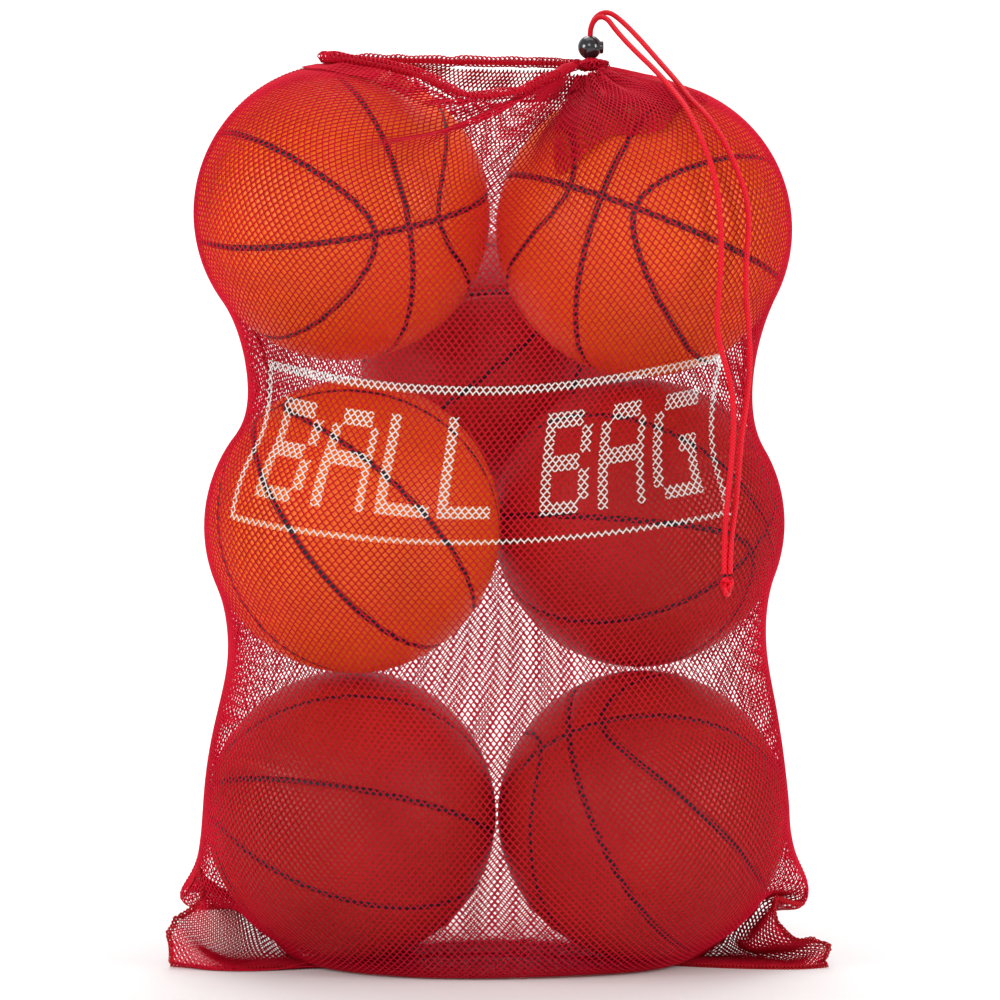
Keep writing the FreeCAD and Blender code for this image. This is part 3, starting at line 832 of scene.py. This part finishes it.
def wrapped(name, line, normal, wide, thick, yarns, turns, made, sway=0.3):
    """Yarns wrapped side by side round a line, as a gathered hem or an overlocked seam, mm."""
    line = np.array(line, float)
    wide = np.broadcast_to(wide, (len(line),))
    thick = np.broadcast_to(thick, (len(line),))
    run = np.concatenate([[0], np.cumsum(np.linalg.norm(np.diff(line, axis=0), axis=1))])
    side, out = frames_along(line, normal)
    stations = 4 * turns + 1
    lean = np.tile([1.0, 1.0, -1.0, -1.0], turns + 1)[:stations]
    angle = np.linspace(0, 2 * math.pi, stations)
    pitch_along = run[-1] / yarns
    centre = np.zeros((yarns, stations, 3))
    face = np.zeros((yarns, stations, 3))
    for k in range(yarns):
        at = (k + 0.5 + (0.5 - sway / 2) * lean * (1 if k % 2 else -1)) * pitch_along
        middle, across, lift = (np.stack([np.interp(at, run, part[:, c]) for c in range(3)], axis=1)
                                for part in (line, side, out))
        w, t = np.interp(at, run, wide), np.interp(at, run, thick)
        centre[k] = (middle + across * (np.cos(angle) * w / 2)[:, None]
                     + lift * (np.sin(angle) * t / 2)[:, None])
        face[k] = across * np.cos(angle)[:, None] + lift * np.sin(angle)[:, None]
    points, quads = yarn_tubes(centre, face)
    uv = np.stack(np.meshgrid(np.linspace(0, 1, yarns), np.repeat(np.linspace(0, 1, stations), 3),
                              indexing="ij"), axis=-1).reshape(-1, 2)
    return mesh_from(name, points, quads, uv, np.zeros(len(quads)), [made])


seam_red = net_material("seam_red", (0.30, 0.002, 0.006), (0.46, 0.006, 0.014),
                        (0.60, 0.014, 0.024))


SEAM_STATIONS = 260
SEAM_THICK = 1.8
SIDE_SEAM_WIDE = 4.6
BOTTOM_SEAM_WIDE = 4.0


def side_seam(name, u):
    """The overlocked seam up one side of the bag."""
    v = np.linspace(0.0, LENGTH - 2, SEAM_STATIONS)
    at = np.full(SEAM_STATIONS, u)
    return wrapped(name, sample(cloth, at, v), sample(normals, at, v), SIDE_SEAM_WIDE, SEAM_THICK,
                   560, 2, seam_red)


left_seam = side_seam("vis_left_seam", 0.0)
right_seam = side_seam("vis_right_seam", WIDTH)
foot = sample(cloth, np.linspace(1.0, WIDTH - 1.0, SEAM_STATIONS), np.zeros(SEAM_STATIONS))
bottom_seam = wrapped("vis_bottom_seam", foot, np.tile([0.0, -1.0, 0.15], (SEAM_STATIONS, 1)),
                      BOTTOM_SEAM_WIDE, SEAM_THICK, 380, 2, seam_red)

hem_u = np.linspace(0.0, 2 * WIDTH, 1221)
hem_at = np.minimum(hem_u, 2 * WIDTH - hem_u)
hem_lift = np.where(hem_at <= ON_LOOP, HEM_DROP, 5.0)
hem_line = sample(hem_pins(COLUMNS, True)[:, None, :].repeat(ROWS, axis=1), hem_u,
                  np.full(len(hem_u), LENGTH))
hem_line[:, 2] += hem_lift
rng_hem = np.random.default_rng(11)
ripple = np.interp(hem_u, np.linspace(0, 2 * WIDTH, 90), rng_hem.normal(0, 1.0, 90))
hem_size = np.where(hem_at <= ON_LOOP, 8.6, 7.0) * (1 + 0.07 * ripple)
hem_line[:, 2] += 0.5 * np.roll(ripple, 7)
hem = wrapped("vis_hem", hem_line, np.tile([0.0, 0.0, 1.0], (len(hem_line), 1)), hem_size,
              hem_size * 0.95, 474, 4, net_red)

HEM_CORD = [
    (79, -6.75, 756.1), (79, -6.75, 749.6), (65, -1, 752.6), (38, 12, 754.1), (-22, 17, 755.1),
    (-80, 10, 756.1), (-124, 4, 756.6), (-141, -12, 756.1), (-128, -33, 754.1), (-96, -45, 748.6),
    (-58, -62, 738.6), (-24, -84, 719.1), (20, -78, 723.1), (50, -56, 739.6), (65, -17, 750.0),
    (79, -11.25, 749.6), (79, -11.25, 756.1),
]
hem_cord = make_cord("vis_hem_cord", HEM_CORD)


KNOT_STATIONS = 121
KNOT_SIDES = 12
KNOT_STRAND = 2.1         # radius of the cord in the knot, mm


def knot():
    """The end of the cords: both strands turned round once and drawn tight."""
    low, high = (np.array(c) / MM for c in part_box("cord_end"))
    middle, size = (low + high) / 2, high - low
    a = np.linspace(0, 2 * math.pi, KNOT_STATIONS)
    line = np.stack([np.sin(a) + 2 * np.sin(2 * a), -np.sin(3 * a) * 1.1,
                     np.cos(a) - 2 * np.cos(2 * a)], axis=1)
    line = line / np.abs(line).max(axis=0) * (size / 2 - KNOT_STRAND) + middle
    along = round_loop(line)
    side = np.cross(along, (line - middle) + [0.01, 0.0, 0.0])
    side /= np.linalg.norm(side, axis=1, keepdims=True)
    out = np.cross(side, along)
    angle = np.arange(KNOT_SIDES) * 2 * math.pi / KNOT_SIDES
    points = (line[:, None] + side[:, None] * (KNOT_STRAND * np.cos(angle))[None, :, None]
              + out[:, None] * (KNOT_STRAND * np.sin(angle))[None, :, None])
    index = np.arange(KNOT_STATIONS * KNOT_SIDES).reshape(-1, KNOT_SIDES)
    turned_by = np.roll(index, -1, axis=1)
    quads = np.stack([index[:-1], turned_by[:-1], turned_by[1:], index[1:]], axis=-1).reshape(-1, 4)
    uv = np.stack(np.meshgrid(np.linspace(0, 0.08, KNOT_STATIONS), np.arange(KNOT_SIDES) / KNOT_SIDES,
                              indexing="ij"), axis=-1)
    return mesh_from("vis_knot", points.reshape(-1, 3), quads, uv.reshape(-1, 2),
                     np.zeros(len(quads)), [cord_red])


knot_piece = knot()

# ---- body membership and replacements -----------------------------------------------------
OF_THE_BAG = (             # piece, the CAD node it stands for, its material slot
    [(strip, "front_net", "net") for strip, _ in front_net]
    + [(strip, "back_net", "net") for strip, _ in back_net]
    + [(layer, "hem", "hem") for layer in casing]
    + [(fold, "front_net", "net"), (left_seam, "left_side_seam", "seam"),
       (right_seam, "right_side_seam", "seam"), (bottom_seam, "bottom_seam", "seam"),
       (hem, "hem", "hem"), (hem_cord, "hem_cord", "cord"), (knot_piece, "cord_end", "cord_end"),
       (cords["cord_left"], "cord_left", "cord"), (cords["cord_right"], "cord_right", "cord")])
for piece, stands_for, slot_name in OF_THE_BAG:
    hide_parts(stands_for)
    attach(piece, "bag")


# ---- stage --------------------------------------------------------------------------------
FLOOR_NEAR, FLOOR_FAR, FLOOR_HALF = -6.0, 2.0, 9.0    # m
WALL_CURVE, WALL_HIGH = 1.5, 7.0
LAMPS = (                 # name, place, power, size
    ("left", (-2.6, -1.5, 1.1), 46.0, 1.2), ("right", (2.6, -1.4, 1.2), 46.0, 1.2),
    ("front", (-0.4, -3.4, 1.9), 26.0, 1.4), ("top", (0.0, 0.2, 3.2), 26.0, 2.4),
    ("backdrop", (0.0, 1.5, 3.2), 75.0, 2.5),
)


def stage():
    """Pale floor that curves up behind into a wall, soft lamps and an even sky."""
    made, tree, shader = material("floor_white")
    shade = noise(tree, coords(tree), 3.0)
    tree.links.new(ramp(tree, shade, [(0.3, (0.80, 0.80, 0.80)), (0.7, (0.84, 0.84, 0.84))]),
                   shader.inputs["Base Color"])
    shader.inputs["Roughness"].default_value = 0.7
    profile = [(FLOOR_NEAR, 0.0), (FLOOR_FAR, 0.0)]
    for k in range(1, 13):
        a = math.radians(90 * k / 12)
        profile.append((FLOOR_FAR + WALL_CURVE * math.sin(a), WALL_CURVE - WALL_CURVE * math.cos(a)))
    profile.append((FLOOR_FAR + WALL_CURVE, WALL_HIGH))
    verts = [(x, y, z) for x in (-FLOOR_HALF, FLOOR_HALF) for y, z in profile]
    n = len(profile)
    faces = [(k, k + n, k + n + 1, k + 1) for k in range(n - 1)]
    data = bpy.data.meshes.new("floor")
    data.from_pydata(verts, [], faces)
    for p in data.polygons:
        p.use_smooth = True
    data.materials.append(made)
    floor = bpy.data.objects.new("floor", data)
    bpy.context.scene.collection.objects.link(floor)
    for name, place, power, size in LAMPS:
        light = bpy.data.lights.new(name, "AREA")
        light.energy = power
        light.size = size
        o = bpy.data.objects.new(name, light)
        bpy.context.scene.collection.objects.link(o)
        o.location = place
        aim = Vector((0.0, 3.2, 0.8)) if name == "backdrop" else Vector((0.0, 0.0, 0.35))
        o.rotation_mode = "QUATERNION"
        o.rotation_quaternion = (aim - Vector(place)).to_track_quat("-Z", "Y")
    world = bpy.data.worlds.new("world")
    bpy.context.scene.world = world
    world.use_nodes = True
    world.node_tree.nodes["Background"].inputs["Color"].default_value = (1.0, 1.0, 1.0, 1.0)
    world.node_tree.nodes["Background"].inputs["Strength"].default_value = 0.5


stage()
